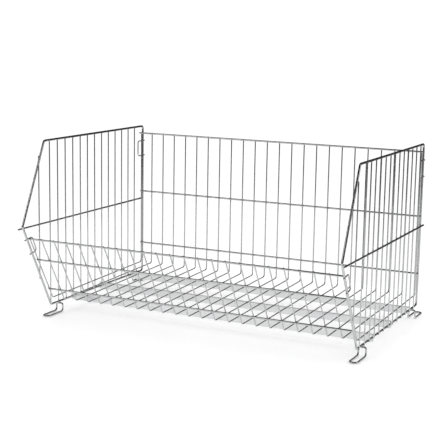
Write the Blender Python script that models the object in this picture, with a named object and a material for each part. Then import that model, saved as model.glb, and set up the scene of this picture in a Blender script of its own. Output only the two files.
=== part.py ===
"""Stackable wire mesh container with two swinging side panels.

World frame: +X is the width (right), -Y is the open, leaning front, +Y is the back, +Z is up.
The ground is z = 0 and the origin is at the middle of the base.  Lengths below are millimetres.
"""
import math

import bpy
import numpy as np

MM = 0.001

# ---- wire sizes (radii) and clearances
THIN_R = 1.7
RAIL_R = 2.5
FRAME_R = 3.0
FOOT_R = 2.5
CLIP_R = 1.6
GAP = 0.3
SIDES = 8

# ---- U-shaped mesh wires: down the back, along the floor, up the leaning front
WIRE_COUNT = 24
WIRE_PITCH = 39.0
EDGE_WIRE_X = 447.5
BACK_Y = 295.5
WIRE_TOP_Z = 470.5
FLOOR_REAR_Z = 61.0
FLOOR_FRONT_Z = 49.0
FRONT_FOOT_Y = -194.5
MESH_LEAN = 0.573
FRONT_TIP_Z = 235.0
BACK_BEND_R = 7.0
FRONT_BEND_R = 8.5

# ---- rails across the mesh
BACK_RAIL_Z = {"back_rail_top": 469.5, "back_rail_middle": 287.0, "back_rail_lower": 122.8}
FRONT_RAIL_Z = {"front_rail_top": 233.1, "front_rail_middle": 169.6, "front_rail_lower": 78.4}
BACK_RAIL_HALF = 452.8
FRONT_RAIL_HALF = 445.9

# ---- upright flat bars below the floor, with an eye at each end for the side frame
BAR_Y = {"floor_bar_front": -88.9, "floor_bar_middle": 59.2, "floor_bar_rear": 229.0}
BAR_TOP_Z = 42.0
BAR_BOTTOM_Z = 20.0
BAR_THICK = 2.4
EYE_HALF_WIDTH = 6.0
EYE_CLEARANCE = 0.4
EYE_SLOT_RISE = 4.0

# ---- side frames: closed, five-cornered loops of thick wire
SIDE_X = 449.9
HINGE_Z = 30.0
FRAME_TOP_Z = 490.4
POST_Y = 307.0
FRAME_FRONT_TOP_Y = -226.3
TIP_Z = 268.3
FRAME_FRONT_BOTTOM_Y = -200.7
FRAME_LEAN = 0.539
FRAME_BEND_R = 9.0

# ---- side grilles: thin uprights on the outer face of the frame, and one mid rail outside them
UPRIGHT_COUNT = 13
UPRIGHT_FIRST_Y = 263.2
UPRIGHT_PITCH = 38.14
UPRIGHT_BOTTOM_Z = 28.0
SHORT_UPRIGHT_Y = -245.8
MID_RAIL_Z = 261.5
MID_RAIL_FRONT_Y = -336.5
MID_RAIL_REAR_Y = 311.0
WELD_DEPTH = 0.6

# ---- feet: closed stirrups under the bottom wire of each side frame
FOOT_HALF_WIDTH = 10.5
FOOT_LENGTH = 70.0
FOOT_FRONT_LEG_Y = -157.5
FOOT_REAR_LEG_Y = 264.15
FOOT_TOP_BEND_R = 5.0
FOOT_LOW_BEND_R = 8.0

# ---- clips: small U staples on the side frames, just outside the mesh's edge wires
CLIP_OFFSET_X = 1.2
REAR_CLIP_BASE_Y = 280.0
REAR_CLIP_Z = (444.5, 398.5)
REAR_PEG_END_Y = 320.5
FRONT_CLIP_BASE = ((-284.5, 235.0), (-264.0, 194.0))
FRONT_CLIP_DROP = 0.17
FRONT_PEG_REACH = 10.0
CLIP_BEND_R = 7.0


def front_y(z):
    """Y of the leaning mesh's wire centres at height z."""
    return FRONT_FOOT_Y - MESH_LEAN * (z - FLOOR_FRONT_Z)


def member_y(z):
    """Y of the side frame's lower leaning member at height z."""
    return FRAME_FRONT_BOTTOM_Y - FRAME_LEAN * (z - HINGE_Z)


def unit(vector):
    return vector / np.linalg.norm(vector)


def turn(vector, axis, angle):
    """Rotate vector about a unit axis by angle."""
    along = axis * np.dot(axis, vector) * (1.0 - math.cos(angle))
    return vector * math.cos(angle) + np.cross(axis, vector) * math.sin(angle) + along


def rounded(corners, radius, steps, closed=False):
    """Polyline through corners, with every bend replaced by an arc of the given radius."""
    corners = [np.array(corner, dtype=float) for corner in corners]
    radii = list(radius) if isinstance(radius, (list, tuple)) else [radius] * len(corners)
    path = []
    count = len(corners)
    for index in range(count):
        if not closed and index in (0, count - 1):
            path.append(corners[index])
            continue
        here = corners[index]
        arriving = unit(here - corners[index - 1])
        leaving = unit(corners[(index + 1) % count] - here)
        angle = math.acos(max(-1.0, min(1.0, float(np.dot(arriving, leaving)))))
        axis = unit(np.cross(arriving, leaving))
        reach = radii[index] * math.tan(angle / 2.0)
        start = here - arriving * reach
        centre = start + np.cross(axis, arriving) * radii[index]
        for step in range(steps + 1):
            path.append(centre + turn(start - centre, axis, angle * step / steps))
    return path


def tube_mesh(path, radius, closed=False, up=(0.0, 0.0, 1.0)):
    """Vertices and faces of a mitred tube along path, in millimetres."""
    path = [np.array(point, dtype=float) for point in path]
    count = len(path)
    spans = count if closed else count - 1
    headings = [unit(path[(i + 1) % count] - path[i]) for i in range(spans)]
    heading = headings[0]
    up = np.array(up, dtype=float)
    side = unit(up - heading * np.dot(up, heading))
    vertices = []
    for index in range(count):
        arriving = headings[index - 1] if (closed or index > 0) else headings[0]
        leaving = headings[index] if index < spans else headings[-1]
        mitre = unit(arriving + leaving)
        across = np.cross(heading, side)
        for k in range(SIDES):
            angle = 2.0 * math.pi * (k + 0.5) / SIDES
            offset = (side * math.cos(angle) + across * math.sin(angle)) * radius
            slide = -np.dot(offset, mitre) / np.dot(heading, mitre)
            vertices.append(path[index] + offset + heading * slide)
        if index > 0:
            bend = float(np.dot(arriving, leaving))
            if bend < 1.0 - 1e-12:
                axis = unit(np.cross(arriving, leaving))
                side = turn(side, axis, math.acos(max(-1.0, bend)))
            heading = leaving
    faces = []
    for index in range(spans):
        low = index * SIDES
        high = ((index + 1) % count) * SIDES
        for k in range(SIDES):
            after = (k + 1) % SIDES
            faces.append((low + k, low + after, high + after, high + k))
    if not closed:
        faces.append(tuple(reversed(range(SIDES))))
        last = (count - 1) * SIDES
        faces.append(tuple(range(last, last + SIDES)))
    return vertices, faces


def merged(pieces):
    """Several vertex and face lists as one."""
    vertices = []
    faces = []
    for piece_vertices, piece_faces in pieces:
        base = len(vertices)
        vertices.extend(piece_vertices)
        faces.extend([tuple(base + i for i in face) for face in piece_faces])
    return vertices, faces


def make(name, shape, material, parent, smooth=True):
    """Scene object from a vertex and face list given in millimetres."""
    vertices, faces = shape
    mesh = bpy.data.meshes.new(name)
    mesh.from_pydata([tuple(float(c) * MM for c in v) for v in vertices], [], faces)
    mesh.update()
    mesh.materials.append(material)
    for polygon in mesh.polygons:
        polygon.use_smooth = smooth and len(polygon.vertices) == 4
    thing = bpy.data.objects.new(name, mesh)
    bpy.context.scene.collection.objects.link(thing)
    if parent is not None:
        thing.parent = parent
        thing.matrix_parent_inverse = parent.matrix_world.inverted()
    return thing


def helper(name, shape, material):
    """A mesh that only takes part in a Boolean."""
    thing = make(name, shape, material, None)
    thing.hide_render = True
    thing.display_type = "WIRE"
    return thing


def combine(target, operand, operation):
    """Add an exact Boolean to target."""
    step = target.modifiers.new(operation.lower(), "BOOLEAN")
    step.operation = operation
    step.solver = "EXACT"
    step.object = operand


def metal(name, colour, roughness):
    """Principled metal."""
    material = bpy.data.materials.new(name)
    material.use_nodes = True
    shader = material.node_tree.nodes["Principled BSDF"]
    shader.inputs["Base Color"].default_value = (colour[0], colour[1], colour[2], 1.0)
    shader.inputs["Metallic"].default_value = 1.0
    shader.inputs["Roughness"].default_value = roughness
    return material


def pivot(name, x, z):
    """Empty that marks a hinge axis or the body's base."""
    empty = bpy.data.objects.new(name, None)
    empty.empty_display_size = 0.05
    empty.location = (x * MM, 0.0, z * MM)
    bpy.context.scene.collection.objects.link(empty)
    bpy.context.view_layer.update()
    return empty


def prism(outline, y_low, y_high):
    """Solid between two y planes over an XZ outline listed anticlockwise seen from -Y."""
    count = len(outline)
    vertices = [np.array((x, y_low, z)) for x, z in outline]
    vertices += [np.array((x, y_high, z)) for x, z in outline]
    faces = [tuple(range(count)), tuple(reversed(range(count, 2 * count)))]
    for k in range(count):
        after = (k + 1) % count
        faces.append((after, k, count + k, count + after))
    return vertices, faces


def arc_points(centre_x, centre_z, radius, start, stop, steps):
    """Points on an arc in the XZ plane, angles in degrees from +X toward +Z."""
    points = []
    for step in range(steps + 1):
        angle = math.radians(start + (stop - start) * step / steps)
        points.append((centre_x + radius * math.cos(angle), centre_z + radius * math.sin(angle)))
    return points


def mesh_wire(x):
    """One continuous wire: back, floor and leaning front."""
    corners = [
        (x, BACK_Y, WIRE_TOP_Z),
        (x, BACK_Y, FLOOR_REAR_Z),
        (x, FRONT_FOOT_Y, FLOOR_FRONT_Z),
        (x, front_y(FRONT_TIP_Z), FRONT_TIP_Z),
    ]
    path = rounded(corners, [0.0, BACK_BEND_R, FRONT_BEND_R, 0.0], 3)
    return tube_mesh(path, THIN_R, up=(1.0, 0.0, 0.0))


def cross_rail(half, y, z):
    """Straight rail along X."""
    return tube_mesh([(-half, y, z), (half, y, z)], RAIL_R)


def floor_bar(y):
    """Upright flat bar whose rounded ends reach past the side frames' bottom wires."""
    middle_low = BAR_BOTTOM_Z + EYE_HALF_WIDTH
    middle_high = BAR_TOP_Z - EYE_HALF_WIDTH
    outline = arc_points(SIDE_X, middle_low, EYE_HALF_WIDTH, -90.0, 0.0, 4)
    outline += arc_points(SIDE_X, middle_high, EYE_HALF_WIDTH, 0.0, 90.0, 4)
    outline += arc_points(-SIDE_X, middle_high, EYE_HALF_WIDTH, 90.0, 180.0, 4)
    outline += arc_points(-SIDE_X, middle_low, EYE_HALF_WIDTH, 180.0, 270.0, 4)
    return prism(outline, y - BAR_THICK / 2.0, y + BAR_THICK / 2.0)


def eye_slots(y):
    """Oblong holes of one floor bar, round at the hinge axis and open above it."""
    radius = FRAME_R + EYE_CLEARANCE
    pieces = []
    for side in (-1.0, 1.0):
        outline = arc_points(side * SIDE_X, HINGE_Z, radius, 180.0, 360.0, 8)
        outline += arc_points(side * SIDE_X, HINGE_Z + EYE_SLOT_RISE, radius, 0.0, 180.0, 8)
        pieces.append(prism(outline, y - BAR_THICK, y + BAR_THICK))
    return merged(pieces)


def side_frame(x):
    """Closed loop: top, leaning upper member, tip, leaning lower member, bottom, post."""
    corners = [
        (x, POST_Y, FRAME_TOP_Z),
        (x, FRAME_FRONT_TOP_Y, FRAME_TOP_Z),
        (x, member_y(TIP_Z), TIP_Z),
        (x, FRAME_FRONT_BOTTOM_Y, HINGE_Z),
        (x, POST_Y, HINGE_Z),
    ]
    return tube_mesh(rounded(corners, FRAME_BEND_R, 3, closed=True), FRAME_R, closed=True)


def front_arm(base_point):
    """Where a front clip's arm line meets the leaning member, and the arm's direction."""
    y, z = base_point
    heading = unit(np.array((0.0, -1.0, -FRONT_CLIP_DROP)))
    # solve y + t*hy = member_y(z + t*hz) for t
    reach = (member_y(z) - y) / (heading[1] + FRAME_LEAN * heading[2])
    return np.array((0.0, y, z)) + heading * reach, heading


def frame_pegs(x):
    """Arm ends that stick out on the far side of the post and of the leaning member."""
    pieces = []
    for z in REAR_CLIP_Z:
        pieces.append(tube_mesh([(x, POST_Y, z), (x, REAR_PEG_END_Y, z)], CLIP_R))
    for base_point in FRONT_CLIP_BASE:
        crossing, heading = front_arm(base_point)
        crossing[0] = x
        pieces.append(tube_mesh([crossing, crossing + heading * FRONT_PEG_REACH], CLIP_R))
    return merged(pieces)


def rear_clip(x):
    """U staple in front of the post."""
    arm_end = POST_Y - FRAME_R - GAP
    corners = [
        (x, arm_end, REAR_CLIP_Z[0]),
        (x, REAR_CLIP_BASE_Y, REAR_CLIP_Z[0]),
        (x, REAR_CLIP_BASE_Y, REAR_CLIP_Z[1]),
        (x, arm_end, REAR_CLIP_Z[1]),
    ]
    return tube_mesh(rounded(corners, CLIP_BEND_R, 3), CLIP_R, up=(1.0, 0.0, 0.0))


def front_clip(x):
    """U staple behind the leaning member, its base parallel to the member."""
    ends = []
    for base_point in FRONT_CLIP_BASE:
        crossing, heading = front_arm(base_point)
        ends.append(crossing - heading * (FRAME_R + CLIP_R * 0.5 + 2.0 * GAP))
    corners = [
        (x, ends[0][1], ends[0][2]),
        (x, FRONT_CLIP_BASE[0][0], FRONT_CLIP_BASE[0][1]),
        (x, FRONT_CLIP_BASE[1][0], FRONT_CLIP_BASE[1][1]),
        (x, ends[1][1], ends[1][2]),
    ]
    return tube_mesh(rounded(corners, CLIP_BEND_R, 3), CLIP_R, up=(1.0, 0.0, 0.0))


def grille_uprights(side):
    """Thin uprights on the outer face of one side frame."""
    x = side * (SIDE_X + FRAME_R + THIN_R + GAP)
    pieces = []
    for index in range(UPRIGHT_COUNT):
        y = UPRIGHT_FIRST_Y - UPRIGHT_PITCH * index
        pieces.append(tube_mesh([(x, y, UPRIGHT_BOTTOM_Z), (x, y, FRAME_TOP_Z)], THIN_R, up=(1.0, 0.0, 0.0)))
    low = HINGE_Z + (FRAME_FRONT_BOTTOM_Y - SHORT_UPRIGHT_Y) / FRAME_LEAN
    share = (FRAME_FRONT_TOP_Y - SHORT_UPRIGHT_Y) / (FRAME_FRONT_TOP_Y - member_y(TIP_Z))
    high = FRAME_TOP_Z + share * (TIP_Z - FRAME_TOP_Z)
    short = [(x, SHORT_UPRIGHT_Y, low - FRAME_R), (x, SHORT_UPRIGHT_Y, high + FRAME_R)]
    pieces.append(tube_mesh(short, THIN_R, up=(1.0, 0.0, 0.0)))
    return merged(pieces)


def mid_rail(side):
    """Rail outside the uprights, its front end a little past the frame's tip."""
    x = side * (SIDE_X + FRAME_R + THIN_R + GAP + THIN_R + RAIL_R - WELD_DEPTH)
    return tube_mesh([(x, MID_RAIL_FRONT_Y, MID_RAIL_Z), (x, MID_RAIL_REAR_Y, MID_RAIL_Z)], RAIL_R)


def foot(x, leg_y, toward):
    """Closed stirrup: cross bar under the bottom wire, two legs, two bars joined by a round end."""
    top = HINGE_Z - FRAME_R - FOOT_R - GAP
    low = FOOT_R * math.cos(math.pi / SIDES)
    half = FOOT_HALF_WIDTH
    end_y = leg_y + toward * (FOOT_LENGTH - half)
    corners = [
        (x - half, leg_y, top),
        (x - half, leg_y, low),
        (x - half, end_y, low),
        (x + half, end_y, low),
        (x + half, leg_y, low),
        (x + half, leg_y, top),
    ]
    legs = rounded(corners[:3], [0.0, FOOT_LOW_BEND_R, 0.0], 3)[:-1]
    start = np.array((x, leg_y, top))
    path = rounded([start, corners[0], legs[1]], [0.0, FOOT_TOP_BEND_R, 0.0], 2)[1:-1]
    path += legs[1:]
    for step in range(9):
        angle = math.pi * step / 8.0
        path.append(np.array((x - half * math.cos(angle), end_y + toward * half * math.sin(angle), low)))
    back = [np.array((2.0 * x - point[0], point[1], point[2])) for point in path]
    back_count = len(path) - 9
    path += list(reversed(back[:back_count]))
    return tube_mesh(path, FOOT_R, closed=True, up=(0.0, 1.0, 0.0))


for leftover in list(bpy.data.objects):
    bpy.data.objects.remove(leftover)

wire_metal = metal("bright_zinc_wire", (0.78, 0.79, 0.80), 0.28)
bar_metal = metal("zinc_sheet", (0.70, 0.71, 0.72), 0.40)

body = pivot("basket_body", 0.0, 0.0)
for number in range(WIRE_COUNT):
    wire_x = (number - (WIRE_COUNT - 1) / 2.0) * WIRE_PITCH
    wire_x = max(-EDGE_WIRE_X, min(EDGE_WIRE_X, wire_x))
    make("mesh_wire_%02d" % (number + 1), mesh_wire(wire_x), wire_metal, body)

lift = RAIL_R + THIN_R + GAP
for rail_name, rail_z in BACK_RAIL_Z.items():
    rail_y = BACK_Y - lift if rail_name == "back_rail_top" else BACK_Y + lift
    make(rail_name, cross_rail(BACK_RAIL_HALF, rail_y, rail_z), wire_metal, body)
lean_lift = lift * math.hypot(1.0, MESH_LEAN)
for rail_name, rail_z in FRONT_RAIL_Z.items():
    make(rail_name, cross_rail(FRONT_RAIL_HALF, front_y(rail_z) - lean_lift, rail_z), wire_metal, body)

for bar_name, bar_y in BAR_Y.items():
    bar = make(bar_name, floor_bar(bar_y), bar_metal, body, smooth=False)
    combine(bar, helper("slots_" + bar_name, eye_slots(bar_y), bar_metal), "DIFFERENCE")

for label, side in (("left", -1.0), ("right", 1.0)):
    panel = pivot(label + "_panel", side * SIDE_X, HINGE_Z)
    frame_x = side * SIDE_X
    clip_x = side * (SIDE_X + CLIP_OFFSET_X)
    frame = make(label + "_frame", side_frame(frame_x), wire_metal, panel)
    combine(frame, helper("pegs_" + label, frame_pegs(clip_x), wire_metal), "UNION")
    grille = make(label + "_grille", grille_uprights(side), wire_metal, panel)
    combine(grille, helper("mid_rail_" + label, mid_rail(side), wire_metal), "UNION")
    make(label + "_foot_front", foot(frame_x, FOOT_FRONT_LEG_Y, -1.0), wire_metal, panel)
    make(label + "_foot_rear", foot(frame_x, FOOT_REAR_LEG_Y, 1.0), wire_metal, panel)
    make(label + "_clip_rear", rear_clip(clip_x), wire_metal, panel)
    make(label + "_clip_front", front_clip(clip_x), wire_metal, panel)
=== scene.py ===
"""Looks of the wire mesh container: drawn, welded and zinc-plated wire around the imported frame.

Frame: +X is the width (right), -Y is the open leaning front, +Y is the back, +Z is up, ground at z = 0.
Lengths in this script are millimetres until solid() turns them into metres.
"""

import math
import random

import bmesh
import bpy
import numpy as np
from mathutils import Matrix, Vector


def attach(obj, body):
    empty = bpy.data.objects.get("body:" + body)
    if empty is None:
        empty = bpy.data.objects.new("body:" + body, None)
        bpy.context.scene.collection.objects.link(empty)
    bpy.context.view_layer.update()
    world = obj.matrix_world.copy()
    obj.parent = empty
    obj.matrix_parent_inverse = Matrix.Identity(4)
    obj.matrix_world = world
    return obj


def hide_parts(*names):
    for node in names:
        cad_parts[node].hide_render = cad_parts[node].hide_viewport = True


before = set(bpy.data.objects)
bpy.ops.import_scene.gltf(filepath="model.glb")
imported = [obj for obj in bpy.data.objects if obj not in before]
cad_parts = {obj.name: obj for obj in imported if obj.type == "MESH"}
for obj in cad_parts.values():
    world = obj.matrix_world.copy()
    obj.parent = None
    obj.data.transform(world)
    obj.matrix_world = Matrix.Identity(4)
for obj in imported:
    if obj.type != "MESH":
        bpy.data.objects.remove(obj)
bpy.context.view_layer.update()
rng = random.Random(7)

MM = 0.001

# ---- finished wire radii
THIN_R = 1.70
RAIL_R = 2.50
FRAME_R = 3.00
FOOT_R = 2.50
CLIP_R = 1.65
SINK = 0.30               # how far two welded wires are pressed into each other

# ---- mesh wires: down the back, along the floor, up the leaning front
WIRE_COUNT = 24
WIRE_PITCH = 39.0
EDGE_WIRE_X = 447.5
BACK_Y = 295.5
WIRE_TOP_Z = 470.5
FLOOR_REAR_Z = 61.0
FLOOR_FRONT_Z = 49.0
FRONT_FOOT_Y = -194.5
MESH_LEAN = 0.573
FRONT_TIP_Z = 235.0
BACK_BEND_R = 7.0
FRONT_BEND_R = 8.5
WIRE_UNEVEN = 0.25        # a wire is laid up to this far off its place
WIRE_TOP_SPREAD = 0.8     # and cut up to this much short at its back end
WIRE_TIP_SPREAD = 0.9     # and at its front end

# ---- rails across the mesh
BACK_RAIL_Z = {"back_rail_top": 469.5, "back_rail_middle": 287.0, "back_rail_lower": 122.8}
FRONT_RAIL_Z = {"front_rail_top": 233.1, "front_rail_middle": 169.6, "front_rail_lower": 78.4}
BACK_RAIL_HALF = 452.8
FRONT_RAIL_HALF = 445.9

# ---- upright flat bars under the floor
BAR_Y = {"floor_bar_front": -88.9, "floor_bar_middle": 59.2, "floor_bar_rear": 229.0}
BAR_TOP_Z = 41.95
BAR_BOTTOM_Z = 20.05
BAR_THICK = 2.4
EYE_HALF_WIDTH = 6.0
EYE_R = 3.4
EYE_SLOT_RISE = 4.0
EYE_START = 9.0           # the plain strip ends this far inside the eye's centre
EYE_STRIP = 3.0
EYE_ARC_STEPS = 8
BAR_ROW_STEPS = 8
BAR_STATIONS = (-7.0, -2.5, 0.0, 2.5, 7.0)
BAR_STATION_MARGIN = 1.0
BAR_FOLD = math.radians(60.0)
BAR_EDGE = 0.32
BAR_SHARP = math.radians(40.0)

# ---- side frames
SIDE_X = 449.9
HINGE_Z = 30.0
FRAME_TOP_Z = 490.1
POST_Y = 307.0
FRAME_FRONT_TOP_Y = -226.3
TIP_Z = 268.3
FRAME_FRONT_BOTTOM_Y = -200.7
FRAME_LEAN = 0.539
FRAME_BEND_R = 9.0

# ---- side grilles
UPRIGHT_COUNT = 13
UPRIGHT_FIRST_Y = 263.2
UPRIGHT_PITCH = 38.14
UPRIGHT_BOTTOM_Z = 28.0
UPRIGHT_TOP_Z = 490.4
SHORT_UPRIGHT_Y = -245.8
MID_RAIL_Z = 261.5
MID_RAIL_FRONT_Y = -336.4
MID_RAIL_REAR_Y = 311.0
UPRIGHT_UNEVEN = 0.3
UPRIGHT_TOP_SPREAD = 0.7
TOP_BEAD_DROP = 1.0
TOP_BEAD_SIZE = 0.62

# ---- feet
FOOT_HALF_WIDTH = 10.15
FOOT_LENGTH = 69.7
FOOT_TOP_Z = 24.2
FOOT_FRONT_LEG_Y = -157.5
FOOT_REAR_LEG_Y = 264.15
FOOT_TOP_BEND_R = 5.0
FOOT_LOW_BEND_R = 8.0
FOOT_CLEARANCE = 0.01
FOOT_END_STEPS = 16
FOOT_BEAD_DROP = 0.1
FOOT_BEAD_SIZE = 1.25

# ---- clips
CLIP_OFFSET_X = 1.2
REAR_CLIP_BASE_Y = 280.0
REAR_CLIP_Z = (444.5, 398.5)
REAR_PEG_END_Y = 320.5
FRONT_CLIP_BASE = ((-284.5, 235.0), (-264.0, 194.0))
FRONT_CLIP_DROP = 0.17
FRONT_PEG_REACH = 10.0
CLIP_BEND_R = 7.0
CLIP_BEAD_SIZE = 0.9

# ---- how finely round wire is drawn
THIN_SIDES = 12
THICK_SIDES = 14
FRAME_SIDES = 16
BEND_STEPS = 10
CLIP_BEND_STEPS = 8
FOOT_BEND_STEPS = 6
LONGEST_SPAN = 30.0
NEAREST_SPAN = 3.0
MARK_REACH = 6.0
MARK_OFFSETS = (-7.0, -3.2, -1.1, 1.1, 3.2, 7.0)
MARK_MARGIN = 0.6
TUMBLED_END = ((0.0, 0.74), (0.14, 0.92), (0.5, 1.0))    # distance from the cut, share of the radius
GRAIN_LENGTH = 4000.0                                    # each wire starts anywhere in this much grain

# ---- resistance welds: (height, reach along the first wire, reach along the second wire)
BEAD_RINGS = ((-1.35, 2.9, 0.9), (-0.75, 2.45, 1.25), (-0.3, 1.85, 1.5), (0.0, 1.62, 1.62),
              (0.3, 1.5, 1.85), (0.75, 1.25, 2.45), (1.35, 0.9, 2.9))
BEAD_SIDES = 10
BEAD_SPREAD = (0.92, 1.14)
BEAD_ROUGH = (0.96, 1.06)
BEAD_LEAN = 0.25
BEAD_GRAIN_R = 1.4
BEAD_GRAIN_STRETCH = 3.0
HEAT_REACH = 4.2          # how far from a weld its heat has dulled the plating

X_AXIS = np.array((1.0, 0.0, 0.0))
Y_AXIS = np.array((0.0, 1.0, 0.0))
Z_AXIS = np.array((0.0, 0.0, 1.0))
MESH_UP = np.array((0.0, -MESH_LEAN, 1.0)) / math.hypot(1.0, MESH_LEAN)
MESH_OUT = np.array((0.0, -1.0, -MESH_LEAN)) / math.hypot(1.0, MESH_LEAN)
FRAME_UP = np.array((0.0, -FRAME_LEAN, 1.0)) / math.hypot(1.0, FRAME_LEAN)

welds = {"basket": [], "left_panel": [], "right_panel": []}


def front_y(z):
    """Y of the leaning mesh's wire centres at height z."""
    return FRONT_FOOT_Y - MESH_LEAN * (z - FLOOR_FRONT_Z)


def member_y(z):
    """Y of the side frame's lower leaning member at height z."""
    return FRAME_FRONT_BOTTOM_Y - FRAME_LEAN * (z - HINGE_Z)


def unit(vector):
    return vector / np.linalg.norm(vector)


def turn(vector, axis, angle):
    """Rotate vector about a unit axis by angle."""
    along = axis * np.dot(axis, vector) * (1.0 - math.cos(angle))
    return vector * math.cos(angle) + np.cross(axis, vector) * math.sin(angle) + along


def rounded(corners, radius, steps, closed=False):
    """Polyline through corners, with every bend replaced by an arc of the given radius."""
    corners = [np.array(corner, dtype=float) for corner in corners]
    radii = list(radius) if isinstance(radius, (list, tuple)) else [radius] * len(corners)
    path = []
    count = len(corners)
    for index in range(count):
        if not closed and index in (0, count - 1):
            path.append(corners[index])
            continue
        here = corners[index]
        arriving = unit(here - corners[index - 1])
        leaving = unit(corners[(index + 1) % count] - here)
        angle = math.acos(max(-1.0, min(1.0, float(np.dot(arriving, leaving)))))
        axis = unit(np.cross(arriving, leaving))
        start = here - arriving * radii[index] * math.tan(angle / 2.0)
        centre = start + np.cross(axis, arriving) * radii[index]
        for step in range(steps + 1):
            path.append(centre + turn(start - centre, axis, angle * step / steps))
    return path


def stationed(path, marks, closed=False):
    """The same path with extra points beside each mark and along every long straight."""
    result = []
    spans = len(path) if closed else len(path) - 1
    for index in range(spans):
        start = path[index]
        stop = path[(index + 1) % len(path)]
        length = float(np.linalg.norm(stop - start))
        heading = (stop - start) / length
        places = {0.0}
        for mark in marks:
            along = float(np.dot(mark - start, heading))
            if np.linalg.norm(start + heading * along - mark) > MARK_REACH:
                continue
            for offset in MARK_OFFSETS:
                if MARK_MARGIN < along + offset < length - MARK_MARGIN:
                    places.add(round(along + offset, 3))
        pieces = max(1, math.ceil(length / LONGEST_SPAN))
        for k in range(1, pieces):
            place = length * k / pieces
            if all(abs(place - other) > NEAREST_SPAN for other in places):
                places.add(place)
        result.extend(start + heading * place for place in sorted(places))
    if not closed:
        result.append(path[-1])
    return result


def ring_faces(rings, sides, closed=False):
    """Faces between consecutive rings of vertices, and over the two ends if the row is open."""
    faces = []
    for index in range(rings if closed else rings - 1):
        low = index * sides
        high = ((index + 1) % rings) * sides
        for k in range(sides):
            after = (k + 1) % sides
            faces.append((low + k, low + after, high + after, high + k))
    if not closed:
        faces.append(tuple(reversed(range(sides))))
        faces.append(tuple(range((rings - 1) * sides, rings * sides)))
    return faces


def tube(path, radius, closed=False, sides=THIN_SIDES, first_side=Z_AXIS):
    """Vertices, faces and straightened coordinates of a round wire with tumbled ends."""
    path = [np.array(point, dtype=float) for point in path]
    radii = [radius] * len(path)
    if not closed:
        first = unit(path[1] - path[0])
        last = unit(path[-1] - path[-2])
        head = [path[0] + first * distance for distance, _ in TUMBLED_END]
        tail = [path[-1] - last * distance for distance, _ in TUMBLED_END]
        ending = [radius * share for _, share in TUMBLED_END]
        radii = ending + [radius] * (len(path) - 2) + ending[::-1]
        path = head + path[1:-1] + tail[::-1]
    count = len(path)
    spans = count if closed else count - 1
    headings = [unit(path[(i + 1) % count] - path[i]) for i in range(spans)]
    heading = headings[0]
    if abs(np.dot(first_side, heading)) > 0.9:
        first_side = X_AXIS
    side = unit(first_side - heading * np.dot(first_side, heading))
    vertices = []
    places = []
    offset_along = rng.uniform(0.0, GRAIN_LENGTH)
    along = 0.0
    for index in range(count):
        arriving = headings[index - 1] if (closed or index > 0) else headings[0]
        leaving = headings[index] if index < spans else headings[-1]
        mitre = unit(arriving + leaving)
        if index > 0:
            along += float(np.linalg.norm(path[index] - path[index - 1]))
        across = np.cross(heading, side)
        for k in range(sides):
            angle = 2.0 * math.pi * (k + 0.5) / sides
            offset = (side * math.cos(angle) + across * math.sin(angle)) * radii[index]
            slide = -np.dot(offset, mitre) / np.dot(heading, mitre)
            vertices.append(path[index] + offset + heading * slide)
            round_place = (radii[index] * math.cos(angle), radii[index] * math.sin(angle))
            places.append((offset_along + along, *round_place))
        if index > 0:
            bend = float(np.dot(arriving, leaving))
            if bend < 1.0 - 1e-12:
                axis = unit(np.cross(arriving, leaving))
                side = turn(side, axis, math.acos(max(-1.0, bend)))
            heading = leaving
    return vertices, ring_faces(count, sides, closed), places


def nugget(point, along_low, along_high, normal, size=1.0, body="basket"):
    """Waisted bead of a resistance weld between a wire along along_low and one along along_high.

    normal points from the first wire to the second, and point is where they touch.
    """
    welds[body].append(np.array(point, dtype=float))
    scale = size * rng.uniform(*BEAD_SPREAD)
    lean_low = rng.uniform(-BEAD_LEAN, BEAD_LEAN)
    lean_high = rng.uniform(-BEAD_LEAN, BEAD_LEAN)
    vertices = []
    places = []
    for height, reach_low, reach_high in BEAD_RINGS:
        for k in range(BEAD_SIDES):
            angle = 2.0 * math.pi * k / BEAD_SIDES
            rough = scale * rng.uniform(*BEAD_ROUGH)
            vertices.append(
                point
                + along_low * (reach_low * math.cos(angle) * rough + lean_low)
                + along_high * (reach_high * math.sin(angle) * rough + lean_high)
                + normal * height * size
            )
            round_place = (BEAD_GRAIN_R * math.cos(angle), BEAD_GRAIN_R * math.sin(angle))
            places.append((height * BEAD_GRAIN_STRETCH + point[0], *round_place))
    faces = ring_faces(len(BEAD_RINGS), BEAD_SIDES)
    if np.dot(np.cross(along_low, along_high), normal) < 0.0:
        faces = [tuple(reversed(face)) for face in faces]
    return vertices, faces, places


def merged(shapes):
    """Several shapes as one list of vertices, faces and coordinates."""
    vertices = []
    faces = []
    places = []
    for shape_vertices, shape_faces, shape_places in shapes:
        base = len(vertices)
        vertices.extend(shape_vertices)
        places.extend(shape_places)
        faces.extend(tuple(base + i for i in face) for face in shape_faces)
    return vertices, faces, places


def solid(name, shape, material, body, stands_for):
    """Shown piece in metres, riding on its body in place of its CAD node."""
    vertices, faces, places = shape
    mesh = bpy.data.meshes.new(name)
    mesh.from_pydata([tuple(float(c) * MM for c in v) for v in vertices], [], faces)
    mesh.update()
    mesh.materials.append(material)
    attribute = mesh.attributes.new("wire_place", "FLOAT_VECTOR", "POINT")
    attribute.data.foreach_set("vector", np.array(places, dtype=np.float32).ravel())
    points = np.array(vertices, dtype=float)
    near = np.full(len(points), np.inf)
    for weld in welds[body]:
        near = np.minimum(near, np.linalg.norm(points - weld, axis=1))
    attribute = mesh.attributes.new("weld", "FLOAT", "POINT")
    attribute.data.foreach_set("value", np.exp(-(near / HEAT_REACH) ** 2).astype(np.float32))
    mesh.shade_smooth()
    thing = bpy.data.objects.new(name, mesh)
    bpy.context.scene.collection.objects.link(thing)
    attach(thing, body)
    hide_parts(stands_for)
    return thing


# ------------------------------------------------------------------ materials

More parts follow.
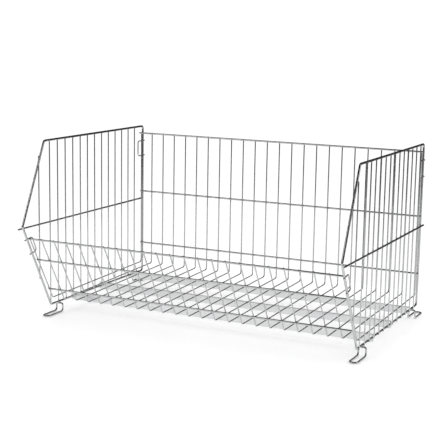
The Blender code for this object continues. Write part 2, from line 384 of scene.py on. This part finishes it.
PATCHES = (0.035, (0.5, 1.0, 1.0), 3.0)       # a noise's scale, stretch and detail
GRAIN = (1.6, (0.6, 1.0, 1.0), 4.0)
DRAWN_STRETCH = (0.035, 1.0, 1.0)
DRAWN_DETAIL = 2.0
NOISE_ROUGHNESS = 0.55
NOISE_LOW = 0.3                               # the noises' useful range
NOISE_HIGH = 0.7
HEAT_TINT = (0.80, 0.785, 0.76)
HEAT_AMOUNT = (0.35, 0.85)
HEAT_DULLING = 0.16
PATCH_DULLING = (-0.04, 0.05)
GRAIN_DULLING = (-0.03, 0.04)
DRAWN_HEIGHT = 0.6
GRAIN_HEIGHT = 0.4
BUMP_STRENGTH = 0.5


def plated(name, base, bright, roughness, drawn_scale, drawn_depth):
    """Zinc-plated metal: drawing lines along the work, plating grain, heat marks by the welds."""
    material = bpy.data.materials.new(name)
    material.use_nodes = True
    tree = material.node_tree
    nodes = tree.nodes
    links = tree.links
    shader = nodes["Principled BSDF"]
    shader.inputs["Metallic"].default_value = 1.0

    place = nodes.new("ShaderNodeAttribute")
    place.attribute_name = "wire_place"
    weld = nodes.new("ShaderNodeAttribute")
    weld.attribute_name = "weld"

    def noise(scale, stretch, detail):
        mapping = nodes.new("ShaderNodeMapping")
        mapping.inputs["Scale"].default_value = stretch
        links.new(place.outputs["Vector"], mapping.inputs["Vector"])
        texture = nodes.new("ShaderNodeTexNoise")
        texture.inputs["Scale"].default_value = scale
        texture.inputs["Detail"].default_value = detail
        texture.inputs["Roughness"].default_value = NOISE_ROUGHNESS
        links.new(mapping.outputs["Vector"], texture.inputs["Vector"])
        return texture.outputs["Fac"]

    def ramp(value, low, high):
        node = nodes.new("ShaderNodeMapRange")
        node.inputs["From Min"].default_value = NOISE_LOW
        node.inputs["From Max"].default_value = NOISE_HIGH
        node.inputs["To Min"].default_value = low
        node.inputs["To Max"].default_value = high
        links.new(value, node.inputs["Value"])
        return node.outputs["Result"]

    def math_node(kind, a, b):
        node = nodes.new("ShaderNodeMath")
        node.operation = kind
        for socket, value in zip(node.inputs, (a, b)):
            if isinstance(value, float):
                socket.default_value = value
            else:
                links.new(value, socket)
        return node.outputs["Value"]

    patches = noise(*PATCHES)
    grain = noise(*GRAIN)
    drawn = noise(drawn_scale, DRAWN_STRETCH, DRAWN_DETAIL)

    tint = nodes.new("ShaderNodeMix")
    tint.data_type = "RGBA"
    tint.inputs["A"].default_value = (*base, 1.0)
    tint.inputs["B"].default_value = (*bright, 1.0)
    links.new(ramp(patches, 0.0, 1.0), tint.inputs["Factor"])
    heat = nodes.new("ShaderNodeMix")
    heat.data_type = "RGBA"
    heat.inputs["B"].default_value = (*(level * share for level, share in zip(base, HEAT_TINT)), 1.0)
    heated = math_node("MULTIPLY", weld.outputs["Fac"], ramp(grain, *HEAT_AMOUNT))
    links.new(heated, heat.inputs["Factor"])
    links.new(tint.outputs["Result"], heat.inputs["A"])
    links.new(heat.outputs["Result"], shader.inputs["Base Color"])

    dulling = math_node("MULTIPLY", weld.outputs["Fac"], HEAT_DULLING)
    patchy = ramp(patches, *(roughness + change for change in PATCH_DULLING))
    varied = math_node("ADD", patchy, ramp(grain, *GRAIN_DULLING))
    links.new(math_node("ADD", varied, dulling), shader.inputs["Roughness"])

    lines = math_node("MULTIPLY", drawn, DRAWN_HEIGHT)
    height = math_node("ADD", lines, math_node("MULTIPLY", grain, GRAIN_HEIGHT))
    bump = nodes.new("ShaderNodeBump")
    bump.inputs["Strength"].default_value = BUMP_STRENGTH
    bump.inputs["Distance"].default_value = drawn_depth * MM
    links.new(height, bump.inputs["Height"])
    links.new(bump.outputs["Normal"], shader.inputs["Normal"])
    return material


wire_metal = plated("zinc_plated_wire", base=(0.475, 0.48, 0.485), bright=(0.575, 0.58, 0.585),
                    roughness=0.15, drawn_scale=2.2, drawn_depth=0.05)
bar_metal = plated("zinc_plated_strip", base=(0.735, 0.74, 0.745), bright=(0.825, 0.83, 0.835),
                   roughness=0.30, drawn_scale=1.6, drawn_depth=0.06)

# ------------------------------------------------------------------ the mesh

rail_lift = THIN_R + RAIL_R - SINK
wire_xs = [(n - (WIRE_COUNT - 1) / 2.0) * WIRE_PITCH + rng.uniform(-WIRE_UNEVEN, WIRE_UNEVEN)
           for n in range(WIRE_COUNT)]
wire_xs = [max(-EDGE_WIRE_X, min(EDGE_WIRE_X, x)) for x in wire_xs]


def rail_centre(name):
    """(y, z) of a rail's centre, just sunk into the wires that it is welded to."""
    if name in BACK_RAIL_Z:
        z = BACK_RAIL_Z[name]
        return (BACK_Y - rail_lift, z) if name == "back_rail_top" else (BACK_Y + rail_lift, z)
    z = FRONT_RAIL_Z[name]
    return front_y(z) - rail_lift * math.hypot(1.0, MESH_LEAN), z


def rail_beads(name):
    """Weld beads of one rail, on its own wire crossings."""
    y, z = rail_centre(name)
    if name == "back_rail_top":
        out, wire_heading = -Y_AXIS, Z_AXIS
    elif name in BACK_RAIL_Z:
        out, wire_heading = Y_AXIS, Z_AXIS
    else:
        out, wire_heading = MESH_OUT, MESH_UP
    centre = np.array((0.0, y, z)) - out * (RAIL_R - SINK / 2.0)
    return [nugget(centre + X_AXIS * x, wire_heading, X_AXIS, out) for x in wire_xs]


rail_halves = {name: BACK_RAIL_HALF for name in BACK_RAIL_Z}
rail_halves.update({name: FRONT_RAIL_HALF for name in FRONT_RAIL_Z})
rail_shapes = {}
for rail_name, half in rail_halves.items():
    beads = rail_beads(rail_name)
    rail_y, rail_z = rail_centre(rail_name)
    ends = [np.array((-half, rail_y, rail_z)), np.array((half, rail_y, rail_z))]
    marks = [np.array((x, rail_y, rail_z)) for x in wire_xs]
    rail = tube(stationed(ends, marks), RAIL_R, sides=THICK_SIDES)
    rail_shapes[rail_name] = merged([rail] + beads)

for number, wire_x in enumerate(wire_xs):
    top_z = WIRE_TOP_Z - rng.uniform(0.0, WIRE_TOP_SPREAD)
    tip_z = FRONT_TIP_Z - rng.uniform(0.0, WIRE_TIP_SPREAD)
    corners = [
        (wire_x, BACK_Y, top_z),
        (wire_x, BACK_Y, FLOOR_REAR_Z),
        (wire_x, FRONT_FOOT_Y, FLOOR_FRONT_Z),
        (wire_x, front_y(tip_z), tip_z),
    ]
    path = rounded(corners, [0.0, BACK_BEND_R, FRONT_BEND_R, 0.0], BEND_STEPS)
    marks = [np.array((wire_x, BACK_Y, z)) for z in BACK_RAIL_Z.values()]
    marks += [np.array((wire_x, front_y(z), z)) for z in FRONT_RAIL_Z.values()]
    name = "mesh_wire_%02d" % (number + 1)
    shape = tube(stationed(path, marks), THIN_R)
    solid(name + "_drawn", shape, wire_metal, "basket", name)
for rail_name, shape in rail_shapes.items():
    solid(rail_name + "_drawn", shape, wire_metal, "basket", rail_name)

# ------------------------------------------------------------------ flat floor bars

strip_end = SIDE_X - EYE_START
bar_rows = [BAR_BOTTOM_Z + (BAR_TOP_Z - BAR_BOTTOM_Z) * k / BAR_ROW_STEPS
            for k in range(BAR_ROW_STEPS + 1)]


def eye_corner(centre_z, first_degrees):
    """Quarter circle at one outer corner of an eye, turning downward from first_degrees."""
    points = []
    for k in range(EYE_ARC_STEPS + 1):
        angle = math.radians(first_degrees - 90.0 * k / EYE_ARC_STEPS)
        points.append((SIDE_X + EYE_HALF_WIDTH * math.cos(angle),
                       centre_z + EYE_HALF_WIDTH * math.sin(angle)))
    return points


def plate_end(side):
    """Boundary points of one eyed end, in order round the slot, and the slot points they face."""
    high = BAR_TOP_Z - EYE_HALF_WIDTH
    low = BAR_BOTTOM_Z + EYE_HALF_WIDTH
    strip_xs = [strip_end + EYE_STRIP, strip_end + 2.0 * EYE_STRIP]
    outline = [(strip_end, z) for z in bar_rows]
    outline += [(x, BAR_TOP_Z) for x in strip_xs]
    outline += eye_corner(high, 90.0)
    outline += [(SIDE_X + EYE_HALF_WIDTH, (high + low) / 2.0)]
    outline += eye_corner(low, 0.0)
    outline += [(x, BAR_BOTTOM_Z) for x in reversed(strip_xs)]
    slot = []
    for x, z in outline:
        spine = min(max(z, HINGE_Z), HINGE_Z + EYE_SLOT_RISE)
        toward = unit(np.array((x - SIDE_X, z - spine)))
        slot.append((SIDE_X + EYE_R * toward[0], spine + EYE_R * toward[1]))
    if side < 0.0:
        outline = [(-x, z) for x, z in outline]
        slot = [(-x, z) for x, z in slot]
    return outline, slot


def flat_bar(y):
    """Sheared strip on edge with a punched oblong eye at each end and softened edges."""
    shape = bmesh.new()
    ends = {side: plate_end(side) for side in (-1.0, 1.0)}
    seen = {}

    def corner(x, z, depth):
        key = (round(x, 4), round(z, 4), depth)
        if key not in seen:
            seen[key] = shape.verts.new((x, y + depth * BAR_THICK / 2.0, z))
        return seen[key]

    stations = [x + step for x in wire_xs for step in BAR_STATIONS]
    stations = sorted(x for x in stations if abs(x) < strip_end - BAR_STATION_MARGIN)
    stations = [-strip_end] + stations + [strip_end]
    for depth in (-1, 1):
        for left, right in zip(stations[:-1], stations[1:]):
            for low, high in zip(bar_rows[:-1], bar_rows[1:]):
                quad = [(left, low), (right, low), (right, high), (left, high)]
                shape.faces.new([corner(x, z, depth) for x, z in (quad if depth < 0 else quad[::-1])])
        for side, (outline, slot) in ends.items():
            count = len(outline)
            for k in range(count):
                after = (k + 1) % count
                quad = [outline[k], outline[after], slot[after], slot[k]]
                if (depth < 0) != (side < 0.0):
                    quad = quad[::-1]
                shape.faces.new([corner(x, z, depth) for x, z in quad])
    for low, high in zip(stations[:-1], stations[1:]):
        for z in (BAR_BOTTOM_Z, BAR_TOP_Z):
            ring = ((low, -1), (low, 1), (high, 1), (high, -1))
            shape.faces.new([corner(x, z, depth) for x, depth in ring])
    # rims of the eyes, from where the strip's own end leaves off, and walls of their slots
    for outline, slot in ends.values():
        for line, first in ((outline, BAR_ROW_STEPS), (slot, 0)):
            for k in range(first, len(line)):
                a, b = line[k], line[(k + 1) % len(line)]
                shape.faces.new([corner(*a, -1), corner(*b, -1), corner(*b, 1), corner(*a, 1)])
    bmesh.ops.recalc_face_normals(shape, faces=shape.faces)
    sharp = [edge for edge in shape.edges if edge.calc_face_angle(0.0) > BAR_FOLD]
    bmesh.ops.bevel(shape, geom=sharp, offset=BAR_EDGE, segments=2, profile=0.6, affect="EDGES")
    shape.verts.ensure_lookup_table()
    shape.verts.index_update()
    vertices = [np.array(vert.co) for vert in shape.verts]
    faces = [tuple(vert.index for vert in face.verts) for face in shape.faces]
    places = [(v[0] + y, v[1] - y, v[2]) for v in vertices]
    shape.free()
    return vertices, faces, places


for bar_name, bar_y in BAR_Y.items():
    shape = flat_bar(bar_y)
    bar = solid(bar_name + "_punched", shape, bar_metal, "basket", bar_name)
    bar.data.set_sharp_from_angle(angle=BAR_SHARP)

# ------------------------------------------------------------------ side panels


def front_arm(base_point):
    """Where a front clip's arm line meets the leaning member, and the arm's direction."""
    y, z = base_point
    heading = unit(np.array((0.0, -1.0, -FRONT_CLIP_DROP)))
    reach = (member_y(z) - y) / (heading[1] + FRAME_LEAN * heading[2])
    return np.array((0.0, y, z)) + heading * reach, heading


def foot_path(x, leg_y, toward):
    """Closed stirrup: cross bar, two legs and two bars on the ground joined by a round end."""
    half = FOOT_HALF_WIDTH
    low = FOOT_R + FOOT_CLEARANCE
    end_y = leg_y + toward * (FOOT_LENGTH - half)
    start = np.array((x, leg_y, FOOT_TOP_Z))
    outer = [start, (x - half, leg_y, FOOT_TOP_Z), (x - half, leg_y, low), (x - half, end_y, low)]
    leg = rounded(outer, [0.0, FOOT_TOP_BEND_R, FOOT_LOW_BEND_R, 0.0], FOOT_BEND_STEPS)[1:-1]
    end = []
    for step in range(FOOT_END_STEPS + 1):
        angle = math.pi * step / FOOT_END_STEPS
        end_x = x - half * math.cos(angle)
        end.append(np.array((end_x, end_y + toward * half * math.sin(angle), low)))
    back = [np.array((2.0 * x - point[0], point[1], point[2])) for point in leg]
    return leg + end + back[::-1]


for label, side in (("left", -1.0), ("right", 1.0)):
    panel = label + "_panel"
    out = X_AXIS * side
    frame_x = side * SIDE_X
    clip_x = side * (SIDE_X + CLIP_OFFSET_X)
    upright_x = side * (SIDE_X + FRAME_R + THIN_R - SINK)
    mid_x = upright_x + side * (THIN_R + RAIL_R - SINK)
    upright_ys = [UPRIGHT_FIRST_Y - UPRIGHT_PITCH * k + rng.uniform(-UPRIGHT_UNEVEN, UPRIGHT_UNEVEN)
                  for k in range(UPRIGHT_COUNT)]
    low_short = HINGE_Z + (FRAME_FRONT_BOTTOM_Y - SHORT_UPRIGHT_Y) / FRAME_LEAN
    share = (FRAME_FRONT_TOP_Y - SHORT_UPRIGHT_Y) / (FRAME_FRONT_TOP_Y - member_y(TIP_Z))
    high_short = FRAME_TOP_Z + share * (TIP_Z - FRAME_TOP_Z)

    # welds of the uprights on the frame and on the mid rail
    touch_frame = frame_x + side * (FRAME_R - SINK / 2.0)
    touch_rail = upright_x + side * (THIN_R - SINK / 2.0)
    spots = []
    for y in upright_ys:
        spots += [(y, HINGE_Z, 1.0), (y, FRAME_TOP_Z - TOP_BEAD_DROP, TOP_BEAD_SIZE), (y, MID_RAIL_Z, 1.0)]
    spots += [(SHORT_UPRIGHT_Y, z, 1.0) for z in (low_short, high_short, MID_RAIL_Z)]
    beads = []
    for y, z, size in spots:
        if z == MID_RAIL_Z:
            spot = np.array((touch_rail, y, z))
            beads.append(nugget(spot, Z_AXIS, Y_AXIS, out, size, panel))
        else:
            spot = np.array((touch_frame, y, z))
            beads.append(nugget(spot, Y_AXIS, Z_AXIS, out, size, panel))

    # frame: one closed loop of thick wire
    corners = [
        (frame_x, POST_Y, FRAME_TOP_Z),
        (frame_x, FRAME_FRONT_TOP_Y, FRAME_TOP_Z),
        (frame_x, member_y(TIP_Z), TIP_Z),
        (frame_x, FRAME_FRONT_BOTTOM_Y, HINGE_Z),
        (frame_x, POST_Y, HINGE_Z),
    ]
    marks = [np.array((frame_x, y, z)) for y in upright_ys for z in (HINGE_Z, FRAME_TOP_Z)]
    path = stationed(rounded(corners, FRAME_BEND_R, BEND_STEPS, closed=True), marks, closed=True)
    frame_shape = tube(path, FRAME_R, closed=True, sides=FRAME_SIDES, first_side=X_AXIS)

    # clips: one bent wire each, crossing the frame wire they are welded to
    rear_ends = [
        (clip_x, REAR_PEG_END_Y, REAR_CLIP_Z[0]),
        (clip_x, REAR_CLIP_BASE_Y, REAR_CLIP_Z[0]),
        (clip_x, REAR_CLIP_BASE_Y, REAR_CLIP_Z[1]),
        (clip_x, REAR_PEG_END_Y, REAR_CLIP_Z[1]),
    ]
    rear_path = rounded(rear_ends, CLIP_BEND_R, CLIP_BEND_STEPS)
    rear_shapes = [tube(rear_path, CLIP_R, first_side=X_AXIS)]
    for z in REAR_CLIP_Z:
        for way in (-1.0, 1.0):
            place = np.array((clip_x, POST_Y + way * FRAME_R, z))
            rear_shapes.append(nugget(place, Z_AXIS, X_AXIS, Y_AXIS * way, CLIP_BEAD_SIZE, panel))
    front_ends = []
    front_shapes = []
    for base_point in FRONT_CLIP_BASE:
        crossing, heading = front_arm(base_point)
        crossing[0] = clip_x
        front_ends.append(crossing + heading * FRONT_PEG_REACH)
        for way in (-1.0, 1.0):
            place = crossing + heading * way * FRAME_R
            front_shapes.append(nugget(place, FRAME_UP, X_AXIS, heading * way, CLIP_BEAD_SIZE, panel))
    front_base = [(clip_x, y, z) for y, z in FRONT_CLIP_BASE]
    front_path = rounded([front_ends[0], *front_base, front_ends[1]], CLIP_BEND_R, CLIP_BEND_STEPS)
    front_shapes.append(tube(front_path, CLIP_R, first_side=X_AXIS))

    # feet: stirrups under the bottom wire
    foot_shapes = {}
    for where, leg_y, toward in (("front", FOOT_FRONT_LEG_Y, -1.0), ("rear", FOOT_REAR_LEG_Y, 1.0)):
        spot = np.array((frame_x, leg_y, HINGE_Z - FRAME_R - FOOT_BEAD_DROP))
        bead = nugget(spot, X_AXIS, Y_AXIS, Z_AXIS, FOOT_BEAD_SIZE, panel)
        marks = [np.array((frame_x, leg_y, FOOT_TOP_Z))]
        path = stationed(foot_path(frame_x, leg_y, toward), marks, closed=True)
        loop = tube(path, FOOT_R, closed=True, sides=THICK_SIDES, first_side=Y_AXIS)
        foot_shapes[where] = merged([loop, bead])

    # grille: full uprights, the short one near the tip, and the mid rail
    grille_shapes = []
    for y in upright_ys:
        top = UPRIGHT_TOP_Z - rng.uniform(0.0, UPRIGHT_TOP_SPREAD)
        ends = [np.array((upright_x, y, UPRIGHT_BOTTOM_Z)), np.array((upright_x, y, top))]
        marks = [np.array((upright_x, y, z)) for z in (HINGE_Z, MID_RAIL_Z, FRAME_TOP_Z)]
        grille_shapes.append(tube(stationed(ends, marks), THIN_R, first_side=X_AXIS))
    ends = [
        np.array((upright_x, SHORT_UPRIGHT_Y, low_short - FRAME_R)),
        np.array((upright_x, SHORT_UPRIGHT_Y, high_short + FRAME_R)),
    ]
    marks = [np.array((upright_x, SHORT_UPRIGHT_Y, MID_RAIL_Z))]
    grille_shapes.append(tube(stationed(ends, marks), THIN_R))
    ends = [np.array((mid_x, y, MID_RAIL_Z)) for y in (MID_RAIL_FRONT_Y, MID_RAIL_REAR_Y)]
    marks = [np.array((mid_x, y, MID_RAIL_Z)) for y in upright_ys]
    grille_shapes.append(tube(stationed(ends, marks), RAIL_R, sides=THICK_SIDES))
    grille_shape = merged(grille_shapes + beads)

    node = label + "_frame"
    solid(node + "_bent", frame_shape, wire_metal, panel, node)
    node = label + "_grille"
    solid(node + "_welded", grille_shape, wire_metal, panel, node)
    for where, shape in foot_shapes.items():
        node = "%s_foot_%s" % (label, where)
        solid(node + "_bent", shape, wire_metal, panel, node)
    for where, shapes in (("rear", rear_shapes), ("front", front_shapes)):
        node = "%s_clip_%s" % (label, where)
        solid(node + "_bent", merged(shapes), wire_metal, panel, node)

# ------------------------------------------------------------------ floor, light and camera

scene = bpy.context.scene
scene.view_settings.view_transform = "Standard"
scene.view_settings.look = "None"

TABLE_X = (-1.70, 4.00)
TABLE_Y = (-1.25, 0.60)
TABLE_Z = -0.0005
TABLE_WHITE = 0.92
TABLE_ROUGHNESS = 0.6
TABLE_GLOSS = 0.2
TABLE_GLOW = 0.27
floor_mesh = bpy.data.meshes.new("floor")
rim = [(TABLE_X[a], TABLE_Y[b], TABLE_Z) for a, b in ((0, 0), (1, 0), (1, 1), (0, 1))]
floor_mesh.from_pydata(rim, [], [(0, 1, 2, 3)])
floor = bpy.data.objects.new("floor", floor_mesh)
scene.collection.objects.link(floor)
floor_material = bpy.data.materials.new("white_table")
floor_material.use_nodes = True
floor_tree = floor_material.node_tree
floor_shader = floor_tree.nodes["Principled BSDF"]
floor_shader.inputs["Base Color"].default_value = (TABLE_WHITE, TABLE_WHITE, TABLE_WHITE, 1.0)
floor_shader.inputs["Roughness"].default_value = TABLE_ROUGHNESS
floor_shader.inputs["Specular IOR Level"].default_value = TABLE_GLOSS
floor_shader.inputs["Emission Color"].default_value = (1.0, 1.0, 1.0, 1.0)
floor_shader.inputs["Emission Strength"].default_value = TABLE_GLOW
floor_mesh.materials.append(floor_material)

# the room is white behind the table and dim in what the wires reflect: (height, level), straight
# down at 0, the horizon at 0.5 and straight up at 1
WHITE_STRENGTH = 1.05
ROOM_LEVELS = ((0.0, 0.10), (0.42, 0.08), (0.50, 0.10), (0.58, 0.06), (0.70, 0.02), (1.0, 0.01))
world = bpy.data.worlds.new("studio")
scene.world = world
world.use_nodes = True
sky = world.node_tree
background = sky.nodes["Background"]
output = sky.nodes["World Output"]
coordinate = sky.nodes.new("ShaderNodeTexCoord")
split = sky.nodes.new("ShaderNodeSeparateXYZ")
sky.links.new(coordinate.outputs["Generated"], split.inputs["Vector"])
heights = sky.nodes.new("ShaderNodeMapRange")
heights.inputs["From Min"].default_value = -1.0
heights.inputs["From Max"].default_value = 1.0
sky.links.new(split.outputs["Z"], heights.inputs["Value"])
room = sky.nodes.new("ShaderNodeValToRGB")
stops = room.color_ramp.elements
for index, (position, level) in enumerate(ROOM_LEVELS):
    at_end = position in (0.0, 1.0)
    stop = stops[index] if at_end else stops.new(position)
    stop.color = (level, level, level, 1.0)
sky.links.new(heights.outputs["Result"], room.inputs["Fac"])
sky.links.new(room.outputs["Color"], background.inputs["Color"])
white = sky.nodes.new("ShaderNodeBackground")
white.inputs["Color"].default_value = (1.0, 1.0, 1.0, 1.0)
white.inputs["Strength"].default_value = WHITE_STRENGTH
rays = sky.nodes.new("ShaderNodeLightPath")
choice = sky.nodes.new("ShaderNodeMixShader")
sky.links.new(rays.outputs["Is Camera Ray"], choice.inputs["Fac"])
sky.links.new(background.outputs["Background"], choice.inputs[1])
sky.links.new(white.outputs["Background"], choice.inputs[2])
sky.links.new(choice.outputs["Shader"], output.inputs["Surface"])


LAMP_AIM = Vector((0.0, 0.0, 0.2))


def softbox(name, place, width, height, power):
    """Rectangular studio light that faces the object."""
    lamp = bpy.data.lights.new(name, "AREA")
    lamp.shape = "RECTANGLE"
    lamp.size = width
    lamp.size_y = height
    lamp.energy = power
    thing = bpy.data.objects.new(name, lamp)
    thing.location = place
    thing.rotation_mode = "QUATERNION"
    thing.rotation_quaternion = (LAMP_AIM - Vector(place)).to_track_quat("-Z", "Y")
    scene.collection.objects.link(thing)


softbox("softbox_left", place=(-1.6, -2.6, 1.7), width=1.6, height=1.2, power=15.0)
softbox("softbox_right", place=(3.2, 0.4, 1.8), width=1.4, height=1.8, power=25.0)

# a broad overhead fill that lights the table evenly and isn't mirrored by the wires
FILL_STRENGTH = 2.65
FILL_SPREAD = math.radians(120.0)
FILL_TILT = (math.radians(-20.0), math.radians(-12.0), 0.0)
fill_light = bpy.data.lights.new("overhead_fill", "SUN")
fill_light.energy = FILL_STRENGTH
fill_light.angle = FILL_SPREAD
fill = bpy.data.objects.new("overhead_fill", fill_light)
fill.rotation_euler = FILL_TILT
fill.visible_glossy = False
scene.collection.objects.link(fill)

CAMERA_PLACE = (1.3247, -2.7727, 0.8192)
CAMERA_AZIMUTH = math.radians(25.781)
CAMERA_DIP = math.radians(10.156)
CAMERA_ROLL = math.radians(1.017)
CAMERA_LENS = 91.434
CAMERA_SENSOR = 36.0
CAMERA_REACH = (0.05, 60.0)
camera_data = bpy.data.cameras.new("camera")
camera_data.sensor_width = CAMERA_SENSOR
camera_data.lens = CAMERA_LENS
camera_data.clip_start, camera_data.clip_end = CAMERA_REACH
camera = bpy.data.objects.new("camera", camera_data)
look = Vector((-math.sin(CAMERA_AZIMUTH) * math.cos(CAMERA_DIP),
               math.cos(CAMERA_AZIMUTH) * math.cos(CAMERA_DIP), -math.sin(CAMERA_DIP)))
level = Vector((math.cos(CAMERA_AZIMUTH), math.sin(CAMERA_AZIMUTH), 0.0))
lift = level.cross(look)
right = level * math.cos(CAMERA_ROLL) + lift * math.sin(CAMERA_ROLL)
top = right.cross(look)
rotation = Matrix((right, top, -look)).transposed().to_4x4()
camera.matrix_world = Matrix.Translation(CAMERA_PLACE) @ rotation
scene.collection.objects.link(camera)
scene.camera = camera

bpy.context.view_layer.update()
